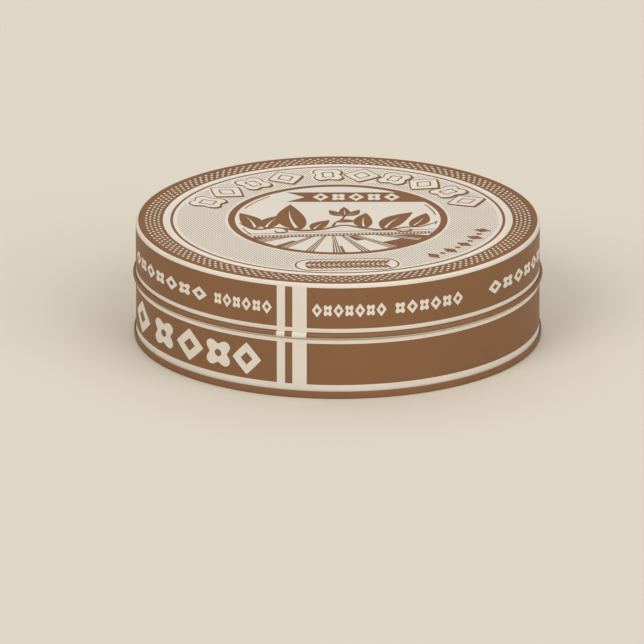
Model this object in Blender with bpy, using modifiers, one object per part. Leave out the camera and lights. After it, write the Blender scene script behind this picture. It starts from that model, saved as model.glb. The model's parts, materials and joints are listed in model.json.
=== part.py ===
"""Shoe polish tin: a lift-off lid over a necked base, a cake of polish, and a riveted twist key.

Lengths are in metres, +Z up. The origin is the centre of the bottom, on the surface the tin stands on.
The tin's axis is Z, and the twist key is at the back right, halfway between +X and +Y.
"""
import math

import bmesh
import bpy

SHEET = 0.0003          # thickness of the tinplate
SEGMENTS = 72           # sides of each turned shell, all in step so that thin gaps stay even
MERGE = 0.00001         # distance below which turned points join

# Tin
WALL_R = 0.0424         # outside of the lid's skirt and of the base's wall, which are flush
HEIGHT = 0.0250         # floor to lid top
LID_EDGE_Z = 0.0130     # lower edge of the lid's curl

# Lid
CURL_PROUD = 0.0006     # how far the curl stands out from the skirt
CURL_HALF_H = 0.00065   # half the curl's height
SHOULDER_R = 0.0005     # radial and
SHOULDER_H = 0.0010     # vertical size of the rounded edge between top and skirt

# Base wall
NECK_R = 0.0419         # outside of the neck that the lid slides over
NECK_TOP_Z = 0.0222
NECK_BEAD_R = 0.00045   # rolled-in edge of the neck
STEP_LOW_Z = 0.0127     # the wall's step in to the neck
STEP_HIGH_Z = 0.0132
STEP_FALL = 0.0001      # inner side of the step below its outer side, which keeps the sheet's thickness
SEAM_GAP = 0.0001       # between the wall's foot and the folded rim

# Base bottom
RIM_R = WALL_R + SEAM_GAP + SHEET
RIM_H = 0.0016
GROOVE_H = 0.0009       # ring between the flush centre panel and the rim, raised off the floor
PANEL_R = 0.0377        # flush centre panel
GROOVE_IN_R = 0.0385
GROOVE_OUT_R = 0.04095
FOOT_R = 0.04175        # inner edge of the ring that the rim stands on

# Polish
CAKE_R = 0.0412
CAKE_LOW_Z = 0.0006
CAKE_TOP_Z = 0.0179     # at the middle
CAKE_EDGE_RISE = 0.0005  # the cake cools slightly dished, and climbs at its edge

# Twist key and its rivet, on an axis that runs straight out of the wall
KEY_BEARING_DEG = 45.0  # from +Y towards +X
KEY_AXIS_Z = 0.0080
KEY_SHEET = 0.00045
KEY_HALF_L = 0.0072     # turned upright, the wings pass in front of the lid's curl, and clear the floor
KEY_HALF_W = 0.0029     # widest part of each wing
KEY_WAIST_W = 0.0020
KEY_HUB_R = 0.0028
KEY_HOLE_R = 0.00108
KEY_STANDOFF = 0.0001   # key to wall
BEND_START = 0.0032     # distance from the axis at which each wing turns outwards
BEND_SLOPE = 1.0
BEND_SOFT = 0.0004
WING_CREST = 0.0054     # where a wing is widest
WING_TIP_W = 0.0010
RIVET_R = 0.0010
RIVET_HEAD_R = 0.0020
RIVET_DOME_H = 0.0008
RIVET_EDGE_H = 0.0002   # upright edge below the dome
RIVET_HEAD_GAP = 0.00005    # head to key
RIVET_TAIL_R = 0.0017
RIVET_TAIL_H = 0.0005
RIVET_TAIL_GAP = 0.00015    # tail to the inside of the wall, which is round there
WALL_HOLE_R = 0.0011
CUTTER_DEPTH = 0.0040   # long enough to pass through the wall and the key


def clear_scene():
    for obj in list(bpy.data.objects):
        bpy.data.objects.remove(obj, do_unlink=True)


def new_collection(name):
    collection = bpy.data.collections.new(name)
    bpy.context.scene.collection.children.link(collection)
    return collection


def make_material(name, color, roughness, metallic):
    material = bpy.data.materials.new(name)
    material.use_nodes = True
    shader = material.node_tree.nodes["Principled BSDF"]
    shader.inputs["Base Color"].default_value = (*color, 1.0)
    shader.inputs["Roughness"].default_value = roughness
    shader.inputs["Metallic"].default_value = metallic
    return material


def arc(center_r, center_z, radius_r, radius_z, start_deg, end_deg, steps):
    """Points (radius, height) along an elliptical arc, both ends included."""
    angles = [math.radians(start_deg + (end_deg - start_deg) * i / steps) for i in range(steps + 1)]
    return [(center_r + radius_r * math.cos(a), center_z + radius_z * math.sin(a)) for a in angles]


def turned(name, profile, material, collection, segments=SEGMENTS, closed=False):
    """Revolve a profile of (radius, height) points about the object's Z axis."""
    count = len(profile)
    edges = [(i, i + 1) for i in range(count - 1)]
    if closed:
        edges.append((count - 1, 0))
    mesh = bpy.data.meshes.new(name)
    mesh.from_pydata([(r, 0.0, z) for r, z in profile], edges, [])
    mesh.materials.append(material)
    obj = bpy.data.objects.new(name, mesh)
    collection.objects.link(obj)
    screw = obj.modifiers.new("Turn", "SCREW")
    screw.steps = screw.render_steps = segments
    screw.use_merge_vertices = True
    screw.merge_threshold = MERGE
    return obj


def place_on_key_axis(obj):
    """Put the object's origin where the key's axis leaves the wall, with its own Z along that axis."""
    bearing = math.radians(KEY_BEARING_DEG)
    obj.location = (WALL_R * math.sin(bearing), WALL_R * math.cos(bearing), KEY_AXIS_Z)
    obj.rotation_euler = (math.radians(-90), 0.0, -bearing)


def cut_hole(obj, name, radius, cutters, segments=32):
    """Cut a round hole along the key's axis right through obj."""
    mesh = bpy.data.meshes.new(name)
    bm = bmesh.new()
    bmesh.ops.create_cone(
        bm, cap_ends=True, segments=segments, radius1=radius, radius2=radius, depth=CUTTER_DEPTH
    )
    bm.to_mesh(mesh)
    bm.free()
    cutter = bpy.data.objects.new(name, mesh)
    cutters.objects.link(cutter)
    place_on_key_axis(cutter)
    cutter.hide_render = True
    cutter.display_type = "WIRE"
    boolean = obj.modifiers.new("Hole", "BOOLEAN")
    boolean.operation = "DIFFERENCE"
    boolean.solver = "EXACT"
    boolean.object = cutter


def make_lid(material, collection):
    top_r = WALL_R - SHOULDER_R
    curl_z = LID_EDGE_Z + CURL_HALF_H
    inner_r = WALL_R - SHEET
    inner_z = HEIGHT - SHEET
    profile = [(0.0, HEIGHT)]
    profile += arc(top_r, HEIGHT - SHOULDER_H, SHOULDER_R, SHOULDER_H, 90, 0, 4)
    profile += arc(WALL_R, curl_z, CURL_PROUD, CURL_HALF_H, 90, -90, 6)
    profile += [(inner_r, LID_EDGE_Z + SHEET)]
    profile += arc(top_r, HEIGHT - SHOULDER_H, SHOULDER_R - SHEET, SHOULDER_H - SHEET, 0, 90, 2)
    profile += [(0.0, inner_z)]
    return turned("lid", profile, material, collection)


def make_base_wall(material, collection, cutters):
    bead_r = NECK_R - NECK_BEAD_R
    bead_z = NECK_TOP_Z - NECK_BEAD_R
    foot_z = SHEET + SEAM_GAP
    profile = arc(bead_r, bead_z, NECK_BEAD_R, NECK_BEAD_R, 90, 0, 2)
    profile += [(NECK_R, STEP_HIGH_Z), (WALL_R, STEP_LOW_Z)]
    profile += [(WALL_R, foot_z), (WALL_R - SHEET, foot_z)]
    profile += [(WALL_R - SHEET, STEP_LOW_Z - STEP_FALL), (NECK_R - SHEET, STEP_HIGH_Z - STEP_FALL)]
    profile += [(NECK_R - SHEET, bead_z - NECK_BEAD_R)]
    profile += arc(bead_r, bead_z, NECK_BEAD_R, NECK_BEAD_R, 240, 135, 3)
    wall = turned("base_wall", profile, material, collection, closed=True)
    cut_hole(wall, "wall_hole_cutter", WALL_HOLE_R, cutters, segments=24)
    return wall


def make_base_bottom(material, collection):
    """Flush centre panel, a raised ring, and a rim folded up round the foot of the wall."""
    inside_z = SHEET
    ring_z = GROOVE_H + SHEET
    slot_in_r = WALL_R - SHEET - SEAM_GAP
    slot_out_r = WALL_R + SEAM_GAP
    lip = SHEET / 2
    profile = [(0.0, inside_z), (PANEL_R - SHEET, inside_z), (GROOVE_IN_R - SHEET, ring_z)]
    profile += [(GROOVE_OUT_R + SHEET, ring_z), (slot_in_r, inside_z), (slot_out_r, inside_z)]
    profile += arc(slot_out_r + lip, RIM_H - lip, lip, lip, 180, 0, 4)
    profile += arc(RIM_R - SHEET, SHEET, SHEET, SHEET, 0, -90, 3)
    profile += [(FOOT_R, 0.0), (GROOVE_OUT_R, GROOVE_H), (GROOVE_IN_R, GROOVE_H)]
    profile += [(PANEL_R, 0.0), (0.0, 0.0)]
    return turned("base_bottom", profile, material, collection)


def make_polish_cake(material, collection):
    ring_low_z = GROOVE_H + 2 * SHEET
    dish = [(CAKE_R * t, CAKE_TOP_Z + CAKE_EDGE_RISE * t ** 4) for t in (0.0, 0.4, 0.7, 0.88, 1.0)]
    profile = dish + [(CAKE_R, ring_low_z), (GROOVE_IN_R - 2 * SHEET, ring_low_z)]
    profile += [(PANEL_R - 2 * SHEET, CAKE_LOW_Z), (0.0, CAKE_LOW_Z)]
    return turned("polish_cake", profile, material, collection)


def key_half_width(u):
    """Half the key's width at distance u from its axis: a round hub, a waist and a rounded wing."""
    hub = math.sqrt(max(KEY_HUB_R ** 2 - u ** 2, 0.0))
    if u < WING_CREST:
        t = min(max((u - BEND_START) / (WING_CREST - BEND_START), 0.0), 1.0)
        wing = KEY_WAIST_W + (KEY_HALF_W - KEY_WAIST_W) * t * t * (3 - 2 * t)
    else:
        t = (u - WING_CREST) / (KEY_HALF_L - WING_CREST)
        wing = WING_TIP_W + (KEY_HALF_W - WING_TIP_W) * math.sqrt(max(1 - t * t, 0.0))
    return max(hub, wing)


def key_bend(u):
    """How far the key's sheet stands out at distance u from its axis."""
    past = max(u - BEND_START, 0.0)
    return BEND_SLOPE * (math.hypot(past, BEND_SOFT) - BEND_SOFT)


def make_opener_key(material, collection, cutters):
    """A stamped sheet, shaped on a grid: its wings are level at rest and turn outwards."""
    bm = bmesh.new()
    bmesh.ops.create_grid(bm, x_segments=24, y_segments=4, size=1.0)
    for vert in bm.verts:
        side, across = vert.co.x, vert.co.y
        u = KEY_HALF_L * math.sin(abs(side) * math.pi / 2)
        height = KEY_STANDOFF + key_bend(u)
        vert.co = (math.copysign(u, side), across * key_half_width(u), height)
    mesh = bpy.data.meshes.new("opener_key")
    bm.to_mesh(mesh)
    bm.free()
    mesh.materials.append(material)
    key = bpy.data.objects.new("opener_key", mesh)
    collection.objects.link(key)
    place_on_key_axis(key)
    solidify = key.modifiers.new("Sheet", "SOLIDIFY")
    solidify.thickness = KEY_SHEET
    solidify.offset = 1.0
    cut_hole(key, "key_hole_cutter", KEY_HOLE_R, cutters)
    return key


def make_key_rivet(material, collection):
    """Domed head outside the key, shank through key and wall, and an upset tail inside."""
    head_low = KEY_STANDOFF + KEY_SHEET + RIVET_HEAD_GAP
    tail_high = -SHEET - RIVET_TAIL_GAP
    dome = arc(0.0, head_low + RIVET_EDGE_H, RIVET_HEAD_R, RIVET_DOME_H, 90, 0, 5)
    profile = [(0.0, dome[0][1])] + dome[1:] + [(RIVET_HEAD_R, head_low), (RIVET_R, head_low)]
    profile += [(RIVET_R, tail_high), (RIVET_TAIL_R, tail_high)]
    profile += [(RIVET_TAIL_R, tail_high - RIVET_TAIL_H), (0.0, tail_high - RIVET_TAIL_H)]
    rivet = turned("key_rivet", profile, material, collection, segments=32)
    place_on_key_axis(rivet)
    return rivet


def build():
    clear_scene()
    tin = new_collection("shoe_polish_tin")
    cutters = new_collection("cutters")
    enamel = make_material("brown_enamel", (0.25, 0.125, 0.060), 0.40, 0.0)
    steel = make_material("bare_steel", (0.56, 0.55, 0.53), 0.32, 1.0)
    wax = make_material("brown_wax", (0.085, 0.032, 0.014), 0.30, 0.0)
    make_lid(enamel, tin)
    make_base_wall(enamel, tin, cutters)
    make_base_bottom(enamel, tin)
    make_polish_cake(wax, tin)
    make_opener_key(steel, tin, cutters)
    make_key_rivet(steel, tin)


build()
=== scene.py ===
"""Shoe polish tin, printed in brown and cream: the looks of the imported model.

Lengths in this script are millimetres until a mesh is made, and metres in the scene. A bearing is an
angle round the tin in degrees, 0 at the front (-Y) and 90 at the right (+X). A polar angle is the usual
one on the lid's top, 0 at +X and 90 at the back (+Y).
"""
import json
import math

import bmesh
import bpy
from mathutils import Matrix, Vector


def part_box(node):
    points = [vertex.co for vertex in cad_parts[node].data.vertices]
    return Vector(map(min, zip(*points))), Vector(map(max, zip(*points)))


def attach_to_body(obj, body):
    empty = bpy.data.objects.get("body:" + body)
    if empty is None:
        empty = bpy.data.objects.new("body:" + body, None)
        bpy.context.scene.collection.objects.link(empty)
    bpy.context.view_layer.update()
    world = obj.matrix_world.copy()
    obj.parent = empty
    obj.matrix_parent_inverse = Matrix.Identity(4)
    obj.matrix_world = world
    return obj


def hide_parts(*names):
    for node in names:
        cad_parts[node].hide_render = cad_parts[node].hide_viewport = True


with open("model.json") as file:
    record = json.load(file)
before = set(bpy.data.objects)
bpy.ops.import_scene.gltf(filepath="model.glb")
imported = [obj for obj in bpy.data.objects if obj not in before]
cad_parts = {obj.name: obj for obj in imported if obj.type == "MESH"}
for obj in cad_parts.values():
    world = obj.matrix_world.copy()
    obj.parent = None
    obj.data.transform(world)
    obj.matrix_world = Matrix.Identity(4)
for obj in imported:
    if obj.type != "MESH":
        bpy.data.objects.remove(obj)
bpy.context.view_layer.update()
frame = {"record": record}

MM = 0.001


def box_mm(node):
    low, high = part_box(node)
    return Vector(low) / MM, Vector(high) / MM


# ---------------------------------------------------------------- sizes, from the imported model
LID_LOW, LID_HIGH = box_mm("lid")
WALL_HIGH = box_mm("base_wall")[1]
BOTTOM_HIGH = box_mm("base_bottom")[1]
CAKE_LOW, CAKE_HIGH = box_mm("polish_cake")

WALL_R = WALL_HIGH.x            # outside of the wall and of the lid's skirt
CURL_R = LID_HIGH.x             # outside of the lid's curl
RIM_R = BOTTOM_HIGH.x           # outside of the folded rim
TOP_Z = LID_HIGH.z
EDGE_Z = LID_LOW.z              # lower edge of the lid
NECK_TOP = WALL_HIGH.z
RIM_H = BOTTOM_HIGH.z
CAKE_R = CAKE_HIGH.x
CAKE_TOP = CAKE_HIGH.z

SHEET = 0.3                     # thickness of the tinplate
SHOULDER_R = 0.5                # the rounded edge between the lid's top and its skirt: radial
SHOULDER_H = 1.0                # and vertical size
CURL_H = 1.3                    # height of the lid's curl
NECK_R = WALL_R - 0.5           # outside of the neck that the lid slides over
NECK_BEAD = 0.45                # radius of the neck's rolled edge
STEP_LOW = EDGE_Z - 0.3         # the wall's step in to the neck
STEP_HIGH = EDGE_Z + 0.2
SEAM_GAP = 0.1                  # between the wall's foot and the folded rim
PANEL_R = 37.7                  # flush panel in the middle of the bottom
GROOVE_IN_R, GROOVE_OUT_R = 38.5, 40.95     # the raised ring round it
GROOVE_H = 0.9
FOOT_R = 41.75                  # inner edge of the ring that the tin stands on

# ---------------------------------------------------------------- the print
RING_R = WALL_R - SHOULDER_R    # outside of the brown ring on the lid's top
RING_IN = 0.876 * RING_R
LINE_OUT, LINE_IN = 0.839 * RING_R, 0.825 * RING_R          # the thin brown line inside it
STIPPLE_OUT, STIPPLE_IN = 0.805 * RING_R, 0.565 * RING_R    # the stippled ring
EMBLEM_OUT, EMBLEM_IN = 0.550 * RING_R, 0.515 * RING_R      # the brown ring round the emblem
ORNAMENT_R = 0.706 * RING_R     # middle of the arc of ornaments at the back
SMALL_MARK_R = 0.742 * RING_R
PINSTRIPE_R = 20.7
DOT_ROWS, DOT_COUNT = 4, 152    # cream dots on the brown ring
DOT_FIRST_R, DOT_PITCH = 0.898 * RING_R, 0.0208 * RING_R
HATCH_X, HATCH_Y = 0.72, 1.35   # spacing of the crossed hatch on the stippled ring
HATCH_INK = 0.70                # how strongly the hatch is printed

LID_BAND = (15.29, TOP_Z - SHOULDER_H)      # lowest and highest z of each brown band
BASE_BAND = (2.95, 11.95)
LID_MARK_Z, LID_MARK_H = 19.25, 2.9         # middle and height of the marks on it
BASE_MARK_Z, BASE_MARK_H = 7.3, 6.7
PANEL_ENDS = (-17.4, -8.8)      # bearings between which the bands are cream
STRIPE = (-15.0, -12.9)         # and the brown stripe inside that

INK = 0.03                      # thickness of a printed mark
SUNK = 0.01                     # how far a mark's underside sits in the sheet
LAYER = 0.004                   # between the tops of marks that overlap

BROWN = (0.250, 0.124, 0.058)
TOP_BROWN_SHADED = (0.238, 0.108, 0.042)   # the same ink on the top, made darker: painted shade against the pale room that the top mirrors
CREAM = (0.770, 0.704, 0.606)
FLOOR = (0.740, 0.671, 0.570)
RUBBED = (0.50, 0.42, 0.32)     # enamel that has been rubbed thin
SATIN = 0.11                    # specular level of the enamel
CREST_WEAR = 0.10               # how strongly the curl's crest is rubbed


# ---------------------------------------------------------------- node helpers
def new_material(name):
    material = bpy.data.materials.new(name)
    material.use_nodes = True
    tree = material.node_tree
    return material, tree, tree.nodes["Principled BSDF"]


def node(tree, kind, inputs=None, **settings):
    """Add a node, set its properties, and fill its inputs with values or with other nodes' outputs."""
    made = tree.nodes.new(kind)
    for key, value in settings.items():
        setattr(made, key, value)
    for key, value in (inputs or {}).items():
        socket = made.inputs[key]
        if isinstance(value, bpy.types.NodeSocket):
            tree.links.new(value, socket)
        elif socket.type == "RGBA":
            socket.default_value = (*value, 1.0)
        else:
            socket.default_value = value
    return made


def math_node(tree, operation, first, second=0.0):
    return node(tree, "ShaderNodeMath", {0: first, 1: second}, operation=operation).outputs[0]


def plus(tree, first, second):
    return math_node(tree, "ADD", first, second)


def times(tree, first, second):
    return math_node(tree, "MULTIPLY", first, second)


def remap(tree, value, low, high, to_low=0.0, to_high=1.0):
    """Turn the range low to high into to_low to to_high, eased at both ends."""
    ranges = {"Value": value, "From Min": low, "From Max": high, "To Min": to_low, "To Max": to_high}
    return node(tree, "ShaderNodeMapRange", ranges, interpolation_type="SMOOTHSTEP").outputs["Result"]


def noise(tree, coords, scale, detail=3.0, roughness=0.5, distortion=0.0):
    inputs = {"Vector": coords, "Scale": scale, "Detail": detail, "Roughness": roughness}
    inputs["Distortion"] = distortion
    return node(tree, "ShaderNodeTexNoise", inputs).outputs["Fac"]


def mix_color(tree, factor, first, second):
    """Mix two colours: inputs 0, 6 and 7 of the Mix node are its factor and its two colours."""
    return node(tree, "ShaderNodeMix", {0: factor, 6: first, 7: second}, data_type="RGBA").outputs[2]


def object_coords(tree):
    return node(tree, "ShaderNodeTexCoord").outputs["Object"]


def shade(color, factor):
    return tuple(channel * factor for channel in color)


def bump(tree, shader, height, strength, distance=0.00002):
    made = node(tree, "ShaderNodeBump", {"Height": height, "Strength": strength, "Distance": distance})
    tree.links.new(made.outputs["Normal"], shader.inputs["Normal"])


# ---------------------------------------------------------------- materials
def enamel(name, color, wear=0.0):
    """Satin enamel over tinplate, slightly mottled, with a fine orange peel. wear rubs the curl's crest."""
    material, tree, shader = new_material(name)
    coords = object_coords(tree)
    cloud = noise(tree, coords, 55.0, 4.0)
    grain = noise(tree, coords, 1400.0, 2.0)
    tone = plus(tree, times(tree, cloud, 0.7), times(tree, grain, 0.3))
    base = mix_color(tree, remap(tree, tone, 0.3, 0.7), shade(color, 0.965), shade(color, 1.035))
    rough = remap(tree, cloud, 0.3, 0.7, 0.40, 0.48)
    if wear:
        position = node(tree, "ShaderNodeSeparateXYZ", {"Vector": coords}).outputs
        across = node(tree, "ShaderNodeCombineXYZ", {"X": position["X"], "Y": position["Y"]}).outputs[0]
        radius = node(tree, "ShaderNodeVectorMath", {0: across}, operation="LENGTH").outputs["Value"]
        crest = remap(tree, radius, (CURL_R - 0.22) * MM, CURL_R * MM)
        patch = remap(tree, noise(tree, coords, 160.0, 5.0, 0.7), 0.50, 0.70)
        base = mix_color(tree, times(tree, times(tree, crest, patch), wear), base, RUBBED)
    tree.links.new(base, shader.inputs["Base Color"])
    tree.links.new(rough, shader.inputs["Roughness"])
    shader.inputs["Specular IOR Level"].default_value = SATIN
    bump(tree, shader, noise(tree, coords, 900.0, 2.0), 0.10)
    return material


def stippled_enamel(name):
    """Cream printed with a fine screen: two sets of thin brown hatch lines, crossed and broken into dots."""
    material, tree, shader = new_material(name)
    coords = object_coords(tree)
    position = node(tree, "ShaderNodeSeparateXYZ", {"Vector": coords}).outputs
    swell = noise(tree, coords, 130.0, 2.0)

    def wave(y_sign):
        across = times(tree, position["X"], 2 * math.pi / (HATCH_X * MM))
        along = times(tree, position["Y"], y_sign * 2 * math.pi / (HATCH_Y * MM))
        return math_node(tree, "COSINE", plus(tree, across, along))

    crossed = plus(tree, wave(1.0), wave(-1.0))
    ink = remap(tree, plus(tree, crossed, times(tree, swell, 0.6)), 0.45, 1.35)
    base = mix_color(tree, times(tree, ink, HATCH_INK), CREAM, shade(BROWN, 0.9))
    tree.links.new(base, shader.inputs["Base Color"])
    tree.links.new(remap(tree, swell, 0.3, 0.7, 0.42, 0.50), shader.inputs["Roughness"])
    shader.inputs["Specular IOR Level"].default_value = SATIN
    bump(tree, shader, noise(tree, coords, 900.0, 2.0), 0.10)
    return material


def streaked_metal(name, dark, light, scales, detail, cloud_scale, rough, relief):
    """Bare metal with fine streaks: scales stretches them, along the axis where it is smallest."""
    material, tree, shader = new_material(name)
    coords = object_coords(tree)
    stretch = node(tree, "ShaderNodeMapping", {"Vector": coords, "Scale": scales}).outputs[0]
    streaks = noise(tree, stretch, 1.0, detail, 0.6)
    cloud = noise(tree, coords, cloud_scale, 3.0)
    tree.links.new(mix_color(tree, remap(tree, streaks, 0.3, 0.7), dark, light), shader.inputs["Base Color"])
    tree.links.new(remap(tree, cloud, 0.3, 0.7, *rough), shader.inputs["Roughness"])
    shader.inputs["Metallic"].default_value = 1.0
    bump(tree, shader, streaks, relief)
    return material


def tinplate(name, color, scales):
    """Rolled tinplate, streaked along the sheet's rolling direction."""
    return streaked_metal(
        name, shade(color, 0.90), shade(color, 1.06), scales, 5.0, 90.0, (0.24, 0.36), 0.08
    )


def brushed_steel(name, scales):
    """Stamped steel with fine brushing, dulled by handling."""
    return streaked_metal(
        name, (0.46, 0.45, 0.43), (0.62, 0.61, 0.59), scales, 4.0, 500.0, (0.24, 0.40), 0.12
    )


def wax_polish(name):
    """Brown wax: a satin skin, cloudy below, with dull smears."""
    material, tree, shader = new_material(name)
    coords = object_coords(tree)
    cloud = noise(tree, coords, 70.0, 5.0, 0.6, 0.6)
    smear = noise(tree, coords, 260.0, 4.0, 0.55, 1.2)
    base = mix_color(tree, remap(tree, cloud, 0.3, 0.7), (0.088, 0.030, 0.011), (0.145, 0.054, 0.021))
    tree.links.new(base, shader.inputs["Base Color"])
    tree.links.new(remap(tree, smear, 0.35, 0.65, 0.34, 0.50), shader.inputs["Roughness"])
    shader.inputs["Specular IOR Level"].default_value = 0.10
    bump(tree, shader, smear, 0.35, 0.00005)
    return material


def floor_material():
    material, tree, shader = new_material("pale_floor")
    coords = object_coords(tree)
    tone = noise(tree, coords, 9.0, 2.0)
    base = mix_color(tree, remap(tree, tone, 0.3, 0.7), shade(FLOOR, 0.995), shade(FLOOR, 1.005))
    tree.links.new(base, shader.inputs["Base Color"])
    shader.inputs["Roughness"].default_value = 0.9
    shader.inputs["Specular IOR Level"].default_value = 0.1
    return material


# brown print on the top, in the darkened top brown: painted shade against the mirrored room
BROWN_INK_SHADED = enamel("brown_ink_shaded", TOP_BROWN_SHADED)
CREAM_INK = enamel("cream_ink", CREAM)
BROWN_SHELL = enamel("brown_enamel", BROWN, wear=CREST_WEAR)
CREAM_SHELL = enamel("cream_enamel", CREAM, wear=CREST_WEAR)
# the top's brown rings, darkened as painted shade against the mirrored room
BROWN_TOP_SHADED = enamel("brown_enamel_top_shaded", TOP_BROWN_SHADED)
STIPPLE = stippled_enamel("stippled_enamel")
INSIDE = tinplate("lacquered_tinplate", (0.60, 0.52, 0.38), (60.0, 1800.0, 1800.0))
BARE = tinplate("bare_tinplate", (0.60, 0.59, 0.57), (70.0, 70.0, 2600.0))
STEEL = brushed_steel("stamped_steel", (300.0, 300.0, 5200.0))
RIVET_STEEL = brushed_steel("rivet_steel", (900.0, 900.0, 900.0))
WAX = wax_polish("brown_wax")


# ---------------------------------------------------------------- mesh helpers
def finish_mesh(name, bm, materials, sharp_deg=28.0):
    """Turn a bmesh in millimetres into a smooth-shaded object in metres."""
    bmesh.ops.transform(bm, matrix=Matrix.Scale(MM, 4), verts=bm.verts)
    mesh = bpy.data.meshes.new(name)
    bm.to_mesh(mesh)
    bm.free()
    for material in materials:
        mesh.materials.append(material)
    mesh.shade_smooth()
    mesh.set_sharp_from_angle(angle=math.radians(sharp_deg))
    obj = bpy.data.objects.new(name, mesh)
    bpy.context.scene.collection.objects.link(obj)
    return obj


def evaluated_mesh(obj):
    """A new mesh of the object with its modifiers applied."""
    return bpy.data.meshes.new_from_object(obj.evaluated_get(bpy.context.evaluated_depsgraph_get()))


def arc(center, radii, start_deg, end_deg, steps):
    """Points along an elliptical arc, both ends included."""
    angles = [math.radians(start_deg + (end_deg - start_deg) * i / steps) for i in range(steps + 1)]
    return [(center[0] + radii[0] * math.cos(a), center[1] + radii[1] * math.sin(a)) for a in angles]


def lathe(name, sections, paint, materials, segments=288, cuts=(), closed=False, lift=None):
    """Revolve a profile about the tin's axis.

    sections is a list of (zone, points): the faces that start at those points belong to that zone.
    paint(zone, bearing) gives a face's material index, cuts are bearings where the mesh must divide,
    and lift(r, z, bearing) raises a point.
    """
    profile = [(r, z, zone) for zone, points in sections for r, z in points]
    bearings = {round(360.0 * i / segments, 4) for i in range(segments)}
    bearings |= {round(cut % 360.0, 4) for cut in cuts}
    bearings = sorted(bearings)
    bm = bmesh.new()
    rings = []
    for r, z, _ in profile:
        if r < 1e-6:
            rings.append([bm.verts.new((0.0, 0.0, z))] * len(bearings))
            continue
        ring = []
        for bearing in bearings:
            a = math.radians(bearing)
            height = z + (lift(r, z, bearing) if lift else 0.0)
            ring.append(bm.verts.new((r * math.sin(a), -r * math.cos(a), height)))
        rings.append(ring)
    count = len(bearings)
    for i in range(len(profile) if closed else len(profile) - 1):
        upper, lower = rings[i], rings[(i + 1) % len(profile)]
        for j in range(count):
            k = (j + 1) % count
            corners = []
            for vert in (upper[j], lower[j], lower[k], upper[k]):
                if vert not in corners:
                    corners.append(vert)
            face = bm.faces.new(corners)
            middle = bearings[j] + ((bearings[k] - bearings[j]) % 360.0) / 2
            face.material_index = paint(profile[i][2], middle)
    return finish_mesh(name, bm, materials)


def marks(name, layers, place, material, cut_step=None, thickness=INK):
    """Printed marks: each layer is a list of closed loops (x, y), filled, given a thickness and placed.

    A loop inside another is a hole in it. place(x, y, h) gives the point in millimetres, and cut_step
    divides the marks along x so that they can follow a curved wall.
    """
    whole = bmesh.new()
    for index, loops in enumerate(layers):
        curve = bpy.data.curves.new(name, "CURVE")
        curve.dimensions = "2D"
        curve.fill_mode = "BOTH"
        curve.extrude = 0.5
        for loop in loops:
            spline = curve.splines.new("POLY")
            spline.points.add(len(loop) - 1)
            for point, (x, y) in zip(spline.points, loop):
                point.co = (x, y, 0.0, 1.0)
            spline.use_cyclic_u = True
        source = bpy.data.objects.new(name, curve)
        bpy.context.scene.collection.objects.link(source)
        mesh = evaluated_mesh(source)
        bpy.data.objects.remove(source)
        bm = bmesh.new()
        bm.from_mesh(mesh)
        bpy.data.meshes.remove(mesh)
        bmesh.ops.remove_doubles(bm, verts=bm.verts, dist=1e-4)
        if cut_step:
            low = min(v.co.x for v in bm.verts)
            high = max(v.co.x for v in bm.verts)
            for step in range(1, int((high - low) / cut_step) + 1):
                bmesh.ops.bisect_plane(
                    bm,
                    geom=bm.verts[:] + bm.edges[:] + bm.faces[:],
                    dist=1e-5,
                    plane_co=(low + step * cut_step, 0, 0),
                    plane_no=(1, 0, 0),
                )
        top = thickness + index * LAYER
        for vert in bm.verts:
            height = -SUNK + (vert.co.z + 0.5) * (top + SUNK)
            vert.co = place(vert.co.x, vert.co.y, height)
        bmesh.ops.recalc_face_normals(bm, faces=bm.faces)
        part = bpy.data.meshes.new(name)
        bm.to_mesh(part)
        bm.free()
        whole.from_mesh(part)
        bpy.data.meshes.remove(part)
    return finish_mesh(name, whole, [material], sharp_deg=20.0)


def on_top(x, y, h):
    return Vector((x, y, TOP_Z + h))


def on_wall(x, z, h):
    """x is the distance round the wall from the front, positive to the right."""
    a = x / WALL_R
    return Vector(((WALL_R + h) * math.sin(a), -(WALL_R + h) * math.cos(a), z))


def bearing_to_x(bearing):
    return math.radians(bearing) * WALL_R


def moved(loop, x=0.0, y=0.0, turn_deg=0.0):
    c, s = math.cos(math.radians(turn_deg)), math.sin(math.radians(turn_deg))
    return [(x + (px * c - py * s), y + (px * s + py * c)) for px, py in loop]


def polar(radius, angle_deg):
    a = math.radians(angle_deg)
    return radius * math.cos(a), radius * math.sin(a)


# ---------------------------------------------------------------- shapes of printed marks
def ellipse(width, height, points=16):
    return [
        (width / 2 * math.cos(2 * math.pi * i / points), height / 2 * math.sin(2 * math.pi * i / points))
        for i in range(points)
    ]


def rosette(width, height, lobes, depth, points=96, turn=0.0):
    """A flower outline with round lobes."""
    loop = []
    for i in range(points):
        a = 2 * math.pi * i / points
        r = 1.0 - depth * (0.5 - 0.5 * math.cos(lobes * (a + turn))) ** 1.4
        loop.append((width / 2 * r * math.cos(a), height / 2 * r * math.sin(a)))
    return loop


def lozenge(width, height, power=0.8, points=48):
    """A diamond whose sides are hollow where power is under 1."""
    loop = []
    for i in range(points):
        a = 2 * math.pi * i / points
        c, s = math.cos(a), math.sin(a)
        exponent = 2.0 / power
        x = math.copysign(abs(c) ** exponent, c) * width / 2
        y = math.copysign(abs(s) ** exponent, s) * height / 2
        loop.append((x, y))
    return loop


def leaf(length, width, curl=0.0, points=14):
    """A pointed leaf from the origin along +x, bowed sideways by curl."""
    upper, lower = [], []
    for i in range(points + 1):
        t = i / points
        half = width / 2 * math.sin(math.pi * t ** 0.8) ** 0.9 if 0 < t < 1 else 0.0
        middle = curl * math.sin(math.pi * t)
        upper.append((t * length, middle + half))
        if 0 < i < points:
            lower.append((t * length, middle - half))
    return upper + lower[::-1]


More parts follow.
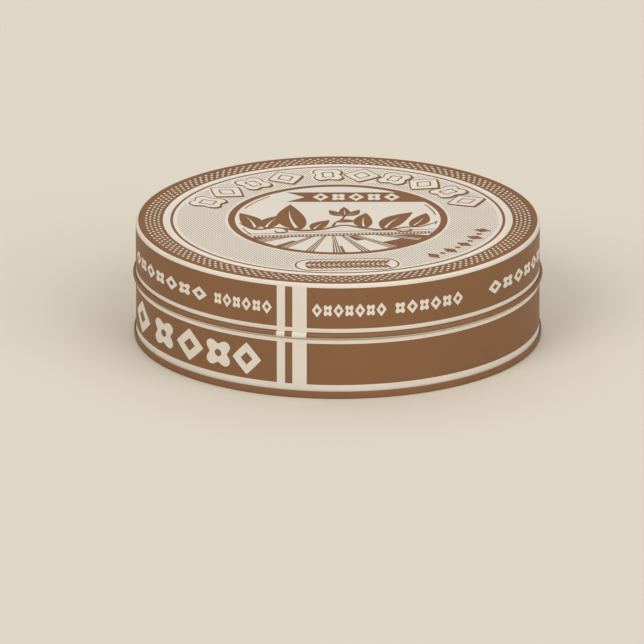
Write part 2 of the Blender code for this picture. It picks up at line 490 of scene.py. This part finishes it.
def midrib(length, width, curl=0.0, points=8):
    """The slit along a leaf's middle, wide at the stalk and thin towards the tip."""
    upper, lower = [], []
    for i in range(points + 1):
        t = 0.10 + 0.68 * i / points
        half = width / 2 * (1 - i / points) + 0.03
        middle = curl * math.sin(math.pi * t)
        upper.append((t * length, middle + half))
        lower.append((t * length, middle - half))
    return upper + lower[::-1]


def stroke(points, widths, steps=14):
    """A pen stroke of changing width along a smooth path through points."""
    path, half = [], []
    last = len(points) - 1
    for i in range(last):
        p0, p1 = points[max(i - 1, 0)], points[i]
        p2, p3 = points[i + 1], points[min(i + 2, last)]
        for k in range(steps + (1 if i == last - 1 else 0)):
            t = k / steps
            spot = []
            for a, b, c, d in zip(p0, p1, p2, p3):
                spot.append(
                    0.5 * (2 * b + (c - a) * t + (2 * a - 5 * b + 4 * c - d) * t * t
                           + (3 * b - a - 3 * c + d) * t ** 3)
                )
            path.append(spot)
            blend = t * t * (3 - 2 * t)
            half.append((widths[i] * (1 - blend) + widths[i + 1] * blend) / 2)
    left, right = [], []
    for i, (x, y) in enumerate(path):
        ahead, behind = path[min(i + 1, len(path) - 1)], path[max(i - 1, 0)]
        dx, dy = ahead[0] - behind[0], ahead[1] - behind[1]
        size = math.hypot(dx, dy) or 1.0
        left.append((x - dy / size * half[i], y + dx / size * half[i]))
        right.append((x + dy / size * half[i], y - dx / size * half[i]))
    return left + right[::-1]


def ring_piece(inner, outer, start_deg, end_deg, steps=None):
    """A stretch of a flat ring about the tin's axis."""
    steps = steps or max(2, int(abs(end_deg - start_deg) / 1.5))
    there = [polar(outer, start_deg + (end_deg - start_deg) * i / steps) for i in range(steps + 1)]
    back = [polar(inner, end_deg + (start_deg - end_deg) * i / steps) for i in range(steps + 1)]
    return there + back


def pill(length, height, steps=12):
    """A bar with round ends."""
    reach = (length - height) / 2
    right = arc((reach, 0.0), (height / 2, height / 2), -90, 90, steps)
    left = arc((-reach, 0.0), (height / 2, height / 2), 90, 270, steps)
    return right + left


def one_material(zone, bearing):
    return 0


# ---------------------------------------------------------------- the shells
ZONES = {
    "brown": BROWN_SHELL,
    "cream": CREAM_SHELL,
    "inside": INSIDE,
    "bare": BARE,
    # the top's brown, darkened: painted shade
    "top_brown": BROWN_TOP_SHADED,
}


def band_is_brown(bearing):
    """The bands are brown everywhere but in the cream panel, and brown in the stripe inside that."""
    b = (bearing + 180.0) % 360.0 - 180.0
    inside = PANEL_ENDS[0] < b < PANEL_ENDS[1]
    return not inside or STRIPE[0] < b < STRIPE[1]


def paint_shell(zone, bearing):
    if zone == "band":
        zone = "brown" if band_is_brown(bearing) else "cream"
    return list(ZONES).index(zone)


def shell(name, sections, **options):
    """A turned shell of the tin, painted by zone."""
    return lathe(name, sections, paint_shell, list(ZONES.values()), **options)


PANEL_CUTS = PANEL_ENDS + STRIPE


def make_lid():
    groove_r = (RING_IN + LINE_OUT) / 2     # a shallow pressed ring stiffens the top
    groove_half, groove_deep = 0.42, 0.13

    def pressed(z, sign):
        return [
            (groove_r - sign * groove_half * i / 4, z - groove_deep * math.cos(math.pi * i / 8) ** 2)
            for i in range(-4, 5)
        ]

    corner = (WALL_R - SHOULDER_R, TOP_Z - SHOULDER_H)
    curl_center = (WALL_R + 0.02, EDGE_Z + CURL_H / 2)
    curl_radii = (CURL_R - curl_center[0], CURL_H / 2)
    curl_top = EDGE_Z + CURL_H
    inner_r, inner_z = WALL_R - SHEET, TOP_Z - SHEET
    # the top's brown rings use the darkened top brown, which is painted shade
    sections = [
        ("cream", [(0.0, TOP_Z), (EMBLEM_IN * 0.5, TOP_Z)]),
        ("cream", [(EMBLEM_IN * 0.9, TOP_Z)]),
        ("top_brown", [(EMBLEM_IN, TOP_Z)]),
        ("cream", [(EMBLEM_OUT, TOP_Z)]),
        ("cream", [(STIPPLE_OUT - 0.2, TOP_Z)]),
        ("top_brown", [(LINE_IN, TOP_Z)]),
        ("cream", [(LINE_OUT, TOP_Z)]),
        ("cream", pressed(TOP_Z, -1)),
        ("top_brown", [(RING_IN, TOP_Z)]),
        # the rounded shoulder is painted cream all round: a painted highlight along the lid's edge
        ("cream", arc(corner, (SHOULDER_R, SHOULDER_H), 90, 10, 9)[:-1]),
        ("band", arc(corner, (SHOULDER_R, SHOULDER_H), 10, 0, 1)),
        ("band", [(WALL_R, (LID_BAND[0] + LID_BAND[1]) / 2)]),
        ("cream", [(WALL_R, LID_BAND[0])]),
        ("band", [(WALL_R, curl_top + 0.11), (WALL_R, curl_top - 0.12)]),
        ("band", [(WALL_R + 0.09, curl_top - 0.11)]),
        ("band", arc(curl_center, curl_radii, 76, -24, 12)),
        ("cream", arc(curl_center, curl_radii, -30, -62, 5)),
        ("inside", arc(curl_center, (0.32, CURL_H / 2), -80, -150, 5)),
        ("inside", [(inner_r, EDGE_Z + 0.8), (inner_r, 18.0)]),
        ("inside", arc(corner, (SHOULDER_R - SHEET, SHOULDER_H - SHEET), 0, 90, 6)),
        ("inside", pressed(inner_z, 1)),
        ("inside", [(30.0, inner_z), (15.0, inner_z), (0.0, inner_z)]),
    ]
    return shell("lid_shell", sections, cuts=PANEL_CUTS)


def make_base_wall():
    bead = (NECK_R - NECK_BEAD, NECK_TOP - NECK_BEAD)
    foot = SHEET + SEAM_GAP
    inner = WALL_R - SHEET
    sections = [
        ("bare", arc(bead, (NECK_BEAD, NECK_BEAD), 90, 0, 7)),
        ("bare", [(NECK_R, 18.0), (NECK_R, STEP_HIGH + 0.1)]),
        ("cream", [(NECK_R + 0.03, STEP_HIGH), (NECK_R + 0.25, STEP_HIGH - 0.18)]),
        ("cream", [(WALL_R - 0.10, STEP_LOW + 0.08), (WALL_R, STEP_LOW)]),
        ("band", [(WALL_R, BASE_BAND[1]), (WALL_R, BASE_MARK_Z)]),
        ("cream", [(WALL_R, BASE_BAND[0])]),
        ("bare", [(WALL_R, foot), (inner, foot)]),
        ("inside", [(inner, STEP_LOW - 0.15), (NECK_R - SHEET, STEP_HIGH - 0.15)]),
        ("inside", [(NECK_R - SHEET, bead[1] - NECK_BEAD)]),
        ("bare", arc(bead, (NECK_BEAD, NECK_BEAD), 245, 105, 8)),
    ]
    return shell("base_wall_shell", sections, cuts=PANEL_CUTS, closed=True)


def make_base_bottom():
    slot_in, slot_out, lip = WALL_R - SHEET - SEAM_GAP, WALL_R + SEAM_GAP, SHEET / 2

    def ramp(r0, z0, r1, z1, steps=6):
        return [
            (r0 + (r1 - r0) * i / steps, z0 + (z1 - z0) * (0.5 - 0.5 * math.cos(math.pi * i / steps)))
            for i in range(steps + 1)
        ]

    sections = [
        ("inside", [(0.0, SHEET), (20.0, SHEET)]),
        ("inside", ramp(PANEL_R - SHEET, SHEET, GROOVE_IN_R - SHEET, GROOVE_H + SHEET)),
        ("inside", ramp(GROOVE_OUT_R + SHEET, GROOVE_H + SHEET, slot_in, SHEET)),
        ("inside", [(slot_out, SHEET)]),
        ("brown", arc((slot_out + lip, RIM_H - lip), (lip, lip), 180, 0, 8)),
        ("brown", arc((RIM_R - SHEET, SHEET), (SHEET, SHEET), 0, -90, 8)),
        ("brown", ramp(FOOT_R, 0.0, GROOVE_OUT_R, GROOVE_H)),
        ("brown", ramp(GROOVE_IN_R, GROOVE_H, PANEL_R, 0.0)),
        ("brown", [(20.0, 0.0), (0.0, 0.0)]),
    ]
    return shell("base_bottom_shell", sections)


# ---------------------------------------------------------------- polish, key and rivet
def make_cake():
    """Wax that set slightly dished, with the shallow turns of a cloth in its skin."""
    low = CAKE_LOW.z
    ring_low = GROOVE_H + 2 * SHEET         # the cake sits on the bottom's raised ring
    dish = 0.5                              # the middle lies this far below the rim
    center = CAKE_TOP - dish
    smooth_from = CAKE_R - 0.9              # no swirls outside this radius
    round_r = 0.3                           # the cake's upper edge
    rings = 56

    def swirl(r, z, bearing):
        if z < center - 0.01 or r > smooth_from:
            return 0.0
        a = math.radians(bearing)
        fade = min(1.0, r / 9.0) * min(1.0, (smooth_from - r) / 5.0)
        turn = math.sin(r * 1.15 - a * 2.0 + 0.5 * math.sin(3 * a))
        worn = 0.5 + 0.5 * math.sin(a - 0.6)
        return fade * worn * (0.10 * turn + 0.04 * math.sin(r * 3.1 + a * 3.0)) - 0.22 * fade * worn

    radii = [CAKE_R * i / rings for i in range(rings)]
    top = [(r, center + dish * (r / CAKE_R) ** 6) for r in radii]
    edge = arc((CAKE_R - round_r, CAKE_TOP - round_r), (round_r, round_r), 80, 0, 4)
    below = [(CAKE_R, ring_low), (GROOVE_IN_R - 2 * SHEET, ring_low), (PANEL_R - 2 * SHEET, low), (0.0, low)]
    sections = [("wax", top + edge + below)]
    return lathe("polish_cake_wax", sections, one_material, [WAX], segments=240, lift=swirl)


def key_frame():
    """The place where the key's axis leaves the wall, with Z along that axis and X level."""
    joint = next(j for j in frame["record"]["behaviour"]["joints"] if j["name"] == "key_turn")
    out = Vector(joint["axis"]).normalized()
    side = Vector((0.0, 0.0, 1.0)).cross(out).normalized()
    up = out.cross(side)
    turn = Matrix((side, up, out)).transposed().to_4x4()
    return Matrix.Translation(Vector(joint["pos_m"])) @ turn


KEY_HALF_L, KEY_HALF_W = 7.2, 2.9       # the key's half length, and half its width where a wing is widest
KEY_WAIST, KEY_HUB_R, KEY_TIP = 2.0, 2.8, 1.0
KEY_SHEET, KEY_STANDOFF = 0.45, 0.1     # its thickness, and its distance from the wall
BEND_START, BEND_SOFT = 3.2, 0.4        # where each wing turns outwards
WING_CREST = 5.4                        # where a wing is widest
KEY_HOLE_R = 1.08
KEY_EDGE = 0.07                         # rounding of the stamped edges
RIB_H, RIB_W, RIB_MIDDLE, RIB_REACH = 0.16, 0.55, 5.3, 1.1     # the rib pressed along each wing
RIVET_HEAD_R, RIVET_DOME, RIVET_EDGE = 2.0, 0.8, 0.2
RIVET_SHANK_R, RIVET_TAIL_R, RIVET_TAIL_H = 1.0, 1.7, 0.5
RIVET_HEAD_GAP = 0.05                   # head to key
RIVET_TAIL_Z = -0.45                    # the tail's outer face, inside the wall


def key_half_width(u):
    """Half the key's width at distance u from its axis: a round hub, a waist and a rounded wing."""
    hub = math.sqrt(max(KEY_HUB_R ** 2 - u ** 2, 0.0))
    if u < WING_CREST:
        t = min(max((u - BEND_START) / (WING_CREST - BEND_START), 0.0), 1.0)
        wing = KEY_WAIST + (KEY_HALF_W - KEY_WAIST) * t * t * (3 - 2 * t)
    else:
        t = (u - WING_CREST) / (KEY_HALF_L - WING_CREST)
        wing = KEY_TIP + (KEY_HALF_W - KEY_TIP) * math.sqrt(max(1 - t * t, 0.0))
    return max(hub, wing)


def bare_object(name, bm):
    """A working object made of a bmesh, with its coordinates as they are."""
    mesh = bpy.data.meshes.new(name)
    bm.to_mesh(mesh)
    bm.free()
    obj = bpy.data.objects.new(name, mesh)
    bpy.context.scene.collection.objects.link(obj)
    return obj


def make_key():
    """The stamped key, with rounded edges and a rib along each wing."""
    bm = bmesh.new()
    bmesh.ops.create_grid(bm, x_segments=96, y_segments=28, size=1.0)
    for vert in bm.verts:
        side, across = vert.co.x, vert.co.y
        u = KEY_HALF_L * math.sin(abs(side) * math.pi / 2)
        v = across * key_half_width(u)
        past = max(u - BEND_START, 0.0)
        height = KEY_STANDOFF + math.hypot(past, BEND_SOFT) - BEND_SOFT
        rib = RIB_H * math.exp(-((v / RIB_W) ** 2)) * math.exp(-(((u - RIB_MIDDLE) / RIB_REACH) ** 4))
        vert.co = (math.copysign(u, side), v, height + rib)
    key = bare_object("opener_key_sheet", bm)
    solid = key.modifiers.new("Sheet", "SOLIDIFY")
    solid.thickness = KEY_SHEET - 0.02
    solid.offset = 1.0
    cutter_bm = bmesh.new()
    bmesh.ops.create_cone(
        cutter_bm, cap_ends=True, segments=64, radius1=KEY_HOLE_R, radius2=KEY_HOLE_R, depth=4.0
    )
    cutter = bare_object("cutter", cutter_bm)
    hole = key.modifiers.new("Hole", "BOOLEAN")
    hole.operation = "DIFFERENCE"
    hole.object = cutter
    edge = key.modifiers.new("Edge", "BEVEL")
    edge.width = KEY_EDGE
    edge.segments = 2
    edge.limit_method = "ANGLE"
    edge.angle_limit = math.radians(50)
    baked = evaluated_mesh(key)
    bpy.data.objects.remove(cutter)
    bpy.data.objects.remove(key)
    final = bmesh.new()
    final.from_mesh(baked)
    bpy.data.meshes.remove(baked)
    to_mm = Matrix.Scale(1 / MM, 4) @ key_frame() @ Matrix.Scale(MM, 4)
    bmesh.ops.transform(final, matrix=to_mm, verts=final.verts)
    return finish_mesh("opener_key_steel", final, [STEEL], sharp_deg=40.0)


def make_rivet():
    """A domed head with a shallow punch mark, on a shank that is spread inside the wall."""
    low = KEY_STANDOFF + KEY_SHEET + RIVET_HEAD_GAP
    head_r, tail_r, tail_z = RIVET_HEAD_R, RIVET_TAIL_R, RIVET_TAIL_Z
    dome = arc((0.0, low + RIVET_EDGE), (head_r, RIVET_DOME), 90, 0, 16)
    dome = [(r, z - 0.10 * math.exp(-((r / 0.45) ** 2))) for r, z in dome]
    dome[0] = (0.0, dome[0][1])
    profile = dome + [(head_r - 0.04, low + 0.03), (head_r - 0.12, low)]
    profile += [(RIVET_SHANK_R, low), (RIVET_SHANK_R, tail_z)]
    profile += [(tail_r - 0.1, tail_z), (tail_r, tail_z - 0.1), (tail_r, tail_z - RIVET_TAIL_H + 0.1)]
    profile += [(tail_r - 0.15, tail_z - RIVET_TAIL_H), (0.0, tail_z - RIVET_TAIL_H)]
    rivet = lathe("key_rivet_steel", [("steel", profile)], one_material, [RIVET_STEEL], segments=64)
    rivet.data.transform(key_frame())
    return rivet


# ---------------------------------------------------------------- printed marks on the lid's top
def make_stipple():
    """The stippled ring, a thin film whose screen is in its material."""
    steps = 240
    outer = [polar(STIPPLE_OUT, 360.0 * i / steps) for i in range(steps)]
    inner = [polar(STIPPLE_IN, 360.0 * i / steps) for i in range(steps)]
    return marks("lid_stipple", [[outer, inner]], on_top, STIPPLE, thickness=0.008)


def make_ring_dots():
    """Rows of small cream dots, each row half a step on from the last."""
    loops = []
    for row in range(DOT_ROWS):
        radius = DOT_FIRST_R + DOT_PITCH * row
        for i in range(DOT_COUNT):
            angle = 360.0 * (i + 0.5 * (row % 2)) / DOT_COUNT
            x, y = polar(radius, angle)
            loops.append(moved(ellipse(0.50, 0.70, 10), x, y, angle))
    return marks("lid_ring_dots", [loops], on_top, CREAM_INK, thickness=0.02)


def back_motifs():
    """Places of the outlined ornaments on the arc at the back: (polar angle, kind)."""
    left = [157.5 - 15.2 * i for i in range(4)]
    right = [94.0 - 14.0 * i for i in range(6)]
    return [(angle, i % 2) for i, angle in enumerate(left + right)]


def motif_outline(kind, grow=0.0):
    """A flower (kind 0) or a lozenge (kind 1), grown outwards by grow."""
    if kind == 0:
        return rosette(7.7 + 2 * grow, 8.8 + 2 * grow, 4, 0.30, turn=math.pi / 4)
    return lozenge(8.2 + 2 * grow, 9.0 + 2 * grow, 1.06)


def make_back_ornaments():
    """Flowers and lozenges in outline, each with a shadow line below on its right."""
    plates, shadows, faces, lines = [], [], [], []
    for angle, kind in back_motifs():
        x, y = polar(ORNAMENT_R, angle)
        turn = angle - 90
        plates.append(moved(motif_outline(kind, 0.60), x, y, turn))
        shadows.append(moved(motif_outline(kind), x + 0.26, y - 0.56, turn))
        faces.append(moved(motif_outline(kind), x, y, turn))
        for grow in (0.0, -0.42, -2.2, -2.66):
            lines.append(moved(motif_outline(kind, grow), x, y, turn))
    return [
        marks("lid_ornament_ground", [plates], on_top, CREAM_INK, thickness=0.012),
        marks("lid_ornament_shadows", [shadows], on_top, BROWN_INK_SHADED, thickness=0.018),
        marks("lid_ornament_faces", [faces], on_top, CREAM_INK, thickness=0.024),
        marks("lid_ornament_lines", [lines], on_top, BROWN_INK_SHADED),
    ]


def make_banner():
    """A ribbon with a forked left end whose right end runs into the emblem's ring."""
    top, bottom = 17.7, 11.5
    middle = (top + bottom) / 2
    left, notch = -10.7, -6.9
    first_x, pitch = -3.6, 3.75
    reach = EMBLEM_IN + 0.3
    heights = [bottom + (top - bottom) * i / 6 for i in range(7)]
    right_arc = [polar(reach, math.degrees(math.asin(y / reach))) for y in heights]
    ribbon = [(left, bottom)] + right_arc + [(left, top), (notch, middle)]
    cream = []
    for i in range(5):
        x = first_x + pitch * i
        if i % 2:
            cream.append(moved(rosette(3.3, 4.8, 4, 0.36, 48, math.pi / 4), x, middle))
            cream.append(moved(ellipse(0.8, 1.2, 10), x, middle))
        else:
            cream.append(moved(lozenge(3.4, 5.0, 1.0, 32), x, middle))
            cream.append(moved(lozenge(1.4, 2.1, 1.0, 32), x, middle))
    return [
        marks("emblem_ribbon", [[ribbon]], on_top, BROWN_INK_SHADED),
        marks("emblem_ribbon_marks", [cream], on_top, CREAM_INK, thickness=INK + 0.01),
    ]


def make_flourish():
    """A leafy vine across the emblem: bold leaves with slit midribs on a waving stem."""
    stem = stroke(
        [
            (-20.6, -2.6), (-17.2, -6.6), (-12.6, -5.6), (-8.0, -7.4), (-3.2, -6.6), (1.2, -4.0),
            (5.4, -5.8), (9.8, -7.0), (14.2, -5.2), (17.6, -4.6), (20.9, -1.6),
        ],
        [0.35, 0.95, 0.7, 1.1, 0.9, 0.7, 0.95, 0.8, 0.7, 0.55, 0.25],
    )
    stalk = stroke([(-1.0, -5.5), (-0.6, -2.6), (0.9, 0.0), (1.5, 2.6)], [0.9, 0.5, 0.45, 0.6])
    layers = [[stem], [stalk]]
    slit_share = 0.13       # a slit's width, as a share of its leaf's
    for x, y, turn, length, width, curl in (
        (-17.2, -6.4, 108.0, 11.0, 4.6, -0.7),
        (-15.2, -6.2, 66.0, 10.0, 4.2, 0.8),
        (-8.2, -7.3, 96.0, 17.0, 6.2, 0.9),
        (-5.2, -7.2, 62.0, 7.4, 3.4, 0.5),
        (-0.4, -1.7, 4.0, 4.4, 2.0, 0.4),
        (1.5, 2.2, 52.0, 5.0, 2.3, -0.5),
        (1.5, 2.2, 92.0, 5.8, 2.3, 0.0),
        (1.5, 2.2, 132.0, 5.0, 2.3, 0.5),
        (5.6, -5.8, 88.0, 9.8, 4.0, 0.5),
        (9.6, -6.9, 62.0, 13.0, 4.9, 1.0),
        (15.4, -4.9, 70.0, 9.4, 3.8, -0.5),
    ):
        outline, slit = leaf(length, width, curl), midrib(length, slit_share * width, curl)
        layers.append([moved(outline, x, y, turn), moved(slit, x, y, turn)])
    tendrils = [
        stroke([(-11.4, -5.9), (-10.6, -8.2), (-12.6, -8.8), (-13.2, -7.5)], [0.5, 0.4, 0.4, 0.2]),
        stroke([(11.6, -6.4), (13.4, -8.0), (15.4, -7.4), (15.0, -6.3)], [0.5, 0.4, 0.4, 0.2]),
    ]
    layers += [[loop] for loop in tendrils]
    return marks("emblem_flourish", layers, on_top, BROWN_INK_SHADED)


HORIZON_TILT = 4.9       # degrees: the beaded line under the flourish climbs to the right
HORIZON_Y = -9.95        # where it crosses x = 1
RAY_CENTER = (-1.2, -6.4)


def horizon_y(x, drop=0.0):
    """The height at x of a line drop below the beaded line."""
    return HORIZON_Y - drop + (x - 1.0) * math.tan(math.radians(HORIZON_TILT))


def line_to_ring(drop, radius):
    """Where a line drop below the beaded line meets a circle about the axis: the left and right x."""
    slope = math.tan(math.radians(HORIZON_TILT))
    start = horizon_y(0.0, drop)
    a, b, c = 1 + slope ** 2, 2 * slope * start, start ** 2 - radius ** 2
    root = math.sqrt(b * b - 4 * a * c)
    return [((-b + sign * root) / (2 * a)) for sign in (-1, 1)]


def make_horizon():
    """Two thin lines with a row of beads between them."""
    loops = []
    for drop, width in ((-1.9, 0.22), (-0.62, 0.2), (0.62, 0.42)):
        left, right = line_to_ring(drop, EMBLEM_IN + 0.2)
        corners = [(left, horizon_y(left, drop)), (right, horizon_y(right, drop))]
        upper = [(x, y + width / 2) for x, y in corners]
        lower = [(x, y - width / 2) for x, y in corners[::-1]]
        loops.append(upper + lower)
    left, right = line_to_ring(0.0, EMBLEM_IN - 0.4)
    count = 48
    for i in range(count):
        x = left + (right - left) * (i + 0.5) / count
        loops.append(moved(ellipse(0.5, 0.72, 8), x, horizon_y(x)))
    return marks("emblem_beaded_line", [loops], on_top, BROWN_INK_SHADED)


def ray_wedge(start_deg, end_deg, from_share=0.0, to_share=1.0):
    """A wedge seen from the rays' centre, between the beaded line and the emblem's ring."""
    cx, cy = RAY_CENTER

    def reach(angle, share):
        dx, dy = math.cos(math.radians(angle)), math.sin(math.radians(angle))
        slope = math.tan(math.radians(HORIZON_TILT))
        near = (horizon_y(cx, 0.8) - cy) / (dy - slope * dx)
        radius = EMBLEM_IN + 0.2
        b = cx * dx + cy * dy
        far = -b + math.sqrt(b * b - (cx * cx + cy * cy - radius * radius))
        near = min(near, far - 0.01)
        distance = near + (far - near) * share
        return cx + dx * distance, cy + dy * distance

    steps = 4
    near = [reach(start_deg + (end_deg - start_deg) * i / steps, from_share) for i in range(steps + 1)]
    far = [reach(end_deg + (start_deg - end_deg) * i / steps, to_share) for i in range(steps + 1)]
    return near + far


def make_rays():
    """Sets of three thin rays below the beaded line, and a few solid wedges."""
    first_deg, pitch_deg = -152.0, 22.0
    loops = []
    for i in range(7):
        middle = first_deg + pitch_deg * i
        for offset in (-2.5, 0.0, 2.5):
            loops.append(ray_wedge(middle + offset - 0.65, middle + offset + 0.65))
    solid = [
        ray_wedge(-137.0, -133.5, 0.45, 1.0),
        ray_wedge(-82.0, -79.5, 0.62, 1.0),
        ray_wedge(-56.0, -46.5, 0.05, 0.34),
        ray_wedge(-38.5, -23.5, 0.62, 1.0),
        ray_wedge(-166.0, -156.0, 0.3, 1.0),
        ray_wedge(-16.5, -11.5, 0.2, 1.0),
    ]
    return marks("emblem_rays", [loops, solid], on_top, BROWN_INK_SHADED)


def make_pinstripes():
    """Short thin arcs just inside the emblem's ring."""
    inner, outer = PINSTRIPE_R - 0.26 / 2, PINSTRIPE_R + 0.26 / 2
    spans = ((134.0, 160.0), (-164.0, -151.0), (8.0, 28.0), (-9.0, -3.0))
    loops = [ring_piece(inner, outer, start, end) for start, end in spans]
    return marks("emblem_pinstripes", [loops], on_top, BROWN_INK_SHADED)


def make_sprig():
    """A sprig of paired leaves on a cream bar, at the front of the stippled ring."""
    def placed(loop):
        return moved(loop, 1.9, -29.5, 3.0)

    outline = [placed(pill(21.9, 7.5)), placed(pill(21.1, 6.7))]
    stem = stroke([(-8.6, -0.5), (-3.0, 0.25), (3.0, -0.25), (8.8, 0.4)], [0.25, 0.4, 0.4, 0.2])
    leaves = []
    for i in range(17):
        x = -8.6 + 1.02 * i
        for side in (-1, 1):
            leaves.append(placed(moved(leaf(3.0, 0.85, 0.15 * side), x, 0.12 * side, side * 60)))
    return [
        marks("lid_sprig_ground", [[placed(pill(22.8, 8.2))]], on_top, CREAM_INK, thickness=0.014),
        marks("lid_sprig", [outline + [placed(stem)], leaves], on_top, BROWN_INK_SHADED),
    ]


def make_small_marks():
    """A row of small lozenges and dots along the stippled ring, at the front right."""
    loops = []
    for i in range(9):
        angle = -50.0 + 4.55 * i
        x, y = polar(SMALL_MARK_R, angle)
        shape = ellipse(0.95, 1.3) if i % 2 else lozenge(2.5, 4.0, 0.95, 32)
        loops.append(moved(shape, x, y, angle + 90))
    return marks("lid_small_marks", [loops], on_top, BROWN_INK_SHADED)


# ---------------------------------------------------------------- printed marks on the wall
def border_mark(index, width, height):
    """One mark of a border, with its hole: a lozenge, or a flower where index is odd."""
    if index % 2:
        flower = rosette(width, height, 4, 0.40, 48, math.pi / 4)
        return [flower, ellipse(width * 0.24, height * 0.24, 10)]
    return [lozenge(width, height * 1.04, 1.05, 32), lozenge(width * 0.42, height * 0.42, 1.0, 24)]


def lid_border(first, last, count, start=0):
    """Marks spread evenly between two bearings, each filling most of its place."""
    fill = 0.94
    loops = []
    pitch = (last - first) / count
    width = bearing_to_x(pitch) * fill
    for i in range(count):
        x = bearing_to_x(first + pitch * (i + 0.5))
        loops += [moved(shape, x, LID_MARK_Z) for shape in border_mark(i + start, width, LID_MARK_H)]
    return loops


def make_lid_border():
    """Pairs of groups of cream marks round the lid's band, seven and then six marks to a pair."""
    groups = [(-82.0, -39.8, -37.6, -18.8), (-7.4, 13.8, 15.9, 37.8), (47.5, 90.3, 92.5, 111.3)]
    groups += [(start, start + 21.1, start + 23.2, start + 43.0) for start in (120.5, 172.7, 224.9)]
    loops = []
    for first, middle_end, middle_start, last in groups:
        loops += lid_border(first, middle_end, 7)
        loops += lid_border(middle_start, last, 6, 1)
    return marks("lid_band_marks", [loops], on_wall, CREAM_INK, cut_step=1.0)


def make_base_border():
    """Large cream ornaments on the base's band, at the front left and again at the back."""
    places = ((8.4, 10.4), (24.0, 8.8), (36.2, 8.0), (47.0, 7.4), (56.4, 6.6))     # bearing, width
    loops = []
    for first in (-83.0, 195.0):
        for i, (offset, width) in enumerate(places):
            x = bearing_to_x(first + offset)
            loops += [moved(shape, x, BASE_MARK_Z) for shape in border_mark(i, width, BASE_MARK_H)]
    return marks("base_band_marks", [loops], on_wall, CREAM_INK, cut_step=1.0)


# ---------------------------------------------------------------- put together
def attach(pieces, body, slot, *nodes):
    """Ride one piece or several on a body, and hide the CAD nodes that they replace. The slot is not used.
    """
    for piece in pieces if isinstance(pieces, list) else [pieces]:
        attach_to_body(piece, body)
        if nodes:
            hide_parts(*nodes)


def build_tin():
    attach(make_lid(), "lid", "enamel", "lid")
    attach(make_base_wall(), "base", "enamel", "base_wall")
    attach(make_base_bottom(), "base", "enamel", "base_bottom")
    attach(make_cake(), "base", "polish", "polish_cake")
    attach(make_key(), "key", "steel", "opener_key")
    attach(make_rivet(), "base", "steel", "key_rivet")
    for make in (
        make_stipple,
        make_ring_dots,
        make_back_ornaments,
        make_banner,
        make_flourish,
        make_horizon,
        make_rays,
        make_pinstripes,
        make_sprig,
        make_small_marks,
        make_lid_border,
    ):
        attach(make(), "lid", "enamel")
    attach(make_base_border(), "base", "enamel")


# ---------------------------------------------------------------- floor, light and camera
ELEVATION = 19.0         # degrees above the horizon
DISTANCE = 3000.0        # from the camera to the middle of its view
FRAME_W = 135.1          # width of the view at the tin, which sets the lens
AIM = (-3.31, -21.55)    # from the middle of the lid's top to the middle of the view, right and up
FLOOR_R = 4000.0
WORLD_LOW, WORLD_HIGH = (0.21, 0.21, 0.205), (0.62, 0.615, 0.60)


def make_floor():
    bm = bmesh.new()
    bmesh.ops.create_circle(bm, cap_ends=True, segments=96, radius=FLOOR_R)
    floor = finish_mesh("floor", bm, [floor_material()])


def make_world():
    """A pale studio: the light comes from above, and the walls near the floor are dimmer."""
    world = bpy.data.worlds.new("studio")
    world.use_nodes = True
    tree = world.node_tree
    direction = node(tree, "ShaderNodeTexCoord").outputs["Generated"]
    height = node(tree, "ShaderNodeSeparateXYZ", {"Vector": direction}).outputs["Z"]
    glow = mix_color(tree, remap(tree, height, 0.15, 0.9), WORLD_LOW, WORLD_HIGH)
    tree.links.new(glow, tree.nodes["Background"].inputs["Color"])
    bpy.context.scene.world = world


def soft_sun(name, bearing, height_deg, strength, spread_deg):
    """A broad light from far away, at a bearing round the tin and a height above the floor."""
    data = bpy.data.lights.new(name, "SUN")
    data.energy = strength
    data.angle = math.radians(spread_deg)
    data.color = (1.0, 1.0, 0.995)
    light = bpy.data.objects.new(name, data)
    a, h = math.radians(bearing), math.radians(height_deg)
    toward = Vector((math.sin(a) * math.cos(h), -math.cos(a) * math.cos(h), math.sin(h)))
    light.location = toward
    light.rotation_euler = toward.to_track_quat("Z", "Y").to_euler()
    bpy.context.scene.collection.objects.link(light)


def make_lights():
    soft_sun("key_light", -38.0, 38.0, 1.14, 35.0)
    soft_sun("fill_light", 46.0, 34.0, 1.04, 55.0)
    soft_sun("back_light", 172.0, 58.0, 0.40, 60.0)


def make_camera():
    tilt = math.radians(ELEVATION)
    up = Vector((0.0, math.sin(tilt), math.cos(tilt)))
    back = Vector((0.0, -math.cos(tilt), math.sin(tilt)))
    target = Vector((0.0, 0.0, TOP_Z)) + Vector((AIM[0], 0.0, 0.0)) + up * AIM[1]
    data = bpy.data.cameras.new("camera")
    data.sensor_width = 36.0
    data.lens = data.sensor_width * DISTANCE / FRAME_W
    data.clip_start, data.clip_end = 0.05, 20.0
    camera = bpy.data.objects.new("camera", data)
    camera.location = (target + back * DISTANCE) * MM
    camera.rotation_euler = back.to_track_quat("Z", "Y").to_euler()
    bpy.context.scene.collection.objects.link(camera)
    bpy.context.scene.camera = camera


bpy.context.scene.view_settings.view_transform = "Standard"
make_world()
make_floor()
make_lights()
make_camera()
build_tin()
